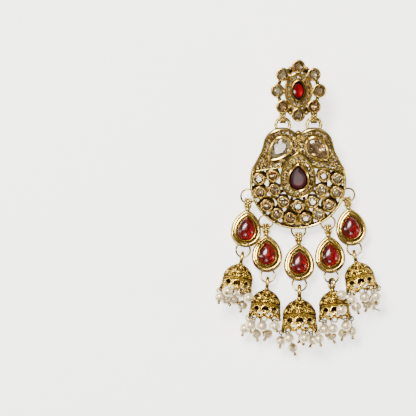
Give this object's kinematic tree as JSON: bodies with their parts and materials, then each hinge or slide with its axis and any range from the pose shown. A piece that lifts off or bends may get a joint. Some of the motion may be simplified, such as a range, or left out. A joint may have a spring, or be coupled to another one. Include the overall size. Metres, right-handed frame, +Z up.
{
  "type": "chandbali earring",
  "caption": "Chandbali earring with a flower stud on a post, a stone-set crescent body, red teardrops and bell drops with pearls.",
  "frame": {"origin": "tip of the ear post, on the surface that the earring lies on", "axes": "+Y towards the top of the earring, +Z up, the way its front faces, +X to the right seen from the front"},
  "size_m": [0.0484, 0.0858, 0.0149],
  "materials": {
    "antique_gold": "antique gold plating",
    "bright_gold": "polished gold plating",
    "yellow_gold": "cast gold plating with dark recesses",
    "wire_gold": "polished gold-plated wire",
    "champagne_glass": "cut champagne glass, foil backed",
    "red_glass": "red glass, foil backed",
    "garnet_glass": "dark garnet glass, foil backed",
    "pearl": "faux pearl"
  },
  "bodies": {
    "root": {"stud_frame": "antique_gold", "stud_oval_stone": "red_glass", "petal_stone_0": "champagne_glass", "petal_stone_1": "champagne_glass", "petal_stone_2": "champagne_glass", "petal_stone_3": "champagne_glass", "petal_stone_4": "champagne_glass", "petal_stone_5": "champagne_glass", "petal_stone_6": "champagne_glass", "petal_stone_7": "champagne_glass", "stud_pave": "champagne_glass", "body_frame": "antique_gold", "middle_stone": "garnet_glass", "wing_stone_left": "champagne_glass", "wing_stone_right": "champagne_glass", "stone_row_top": "champagne_glass", "stone_row_second": "champagne_glass", "stone_row_third": "champagne_glass", "stone_row_bottom": "champagne_glass", "halo_pave": "champagne_glass", "wing_pave_left": "champagne_glass", "wing_pave_right": "champagne_glass", "upper_ring_0": "wire_gold", "upper_ring_1": "wire_gold", "upper_ring_2": "wire_gold", "upper_ring_3": "wire_gold", "upper_ring_4": "wire_gold", "teardrop_0": "bright_gold", "teardrop_1": "bright_gold", "teardrop_2": "bright_gold", "teardrop_3": "bright_gold", "teardrop_4": "bright_gold", "drop_stone_0": "red_glass", "drop_stone_1": "red_glass", "drop_stone_2": "red_glass", "drop_stone_3": "red_glass", "drop_stone_4": "red_glass", "lower_ring_0": "wire_gold", "lower_ring_1": "wire_gold", "lower_ring_2": "wire_gold", "lower_ring_3": "wire_gold", "lower_ring_4": "wire_gold", "bell_0": "yellow_gold", "bell_1": "yellow_gold", "bell_2": "yellow_gold", "bell_3": "yellow_gold", "bell_4": "yellow_gold", "pearls_0": "pearl", "pearls_1": "pearl", "pearls_2": "pearl", "pearls_3": "pearl", "pearls_4": "pearl", "pins_0": "wire_gold", "pins_1": "wire_gold", "pins_2": "wire_gold", "pins_3": "wire_gold", "pins_4": "wire_gold"}
  },
  "joints": []
}
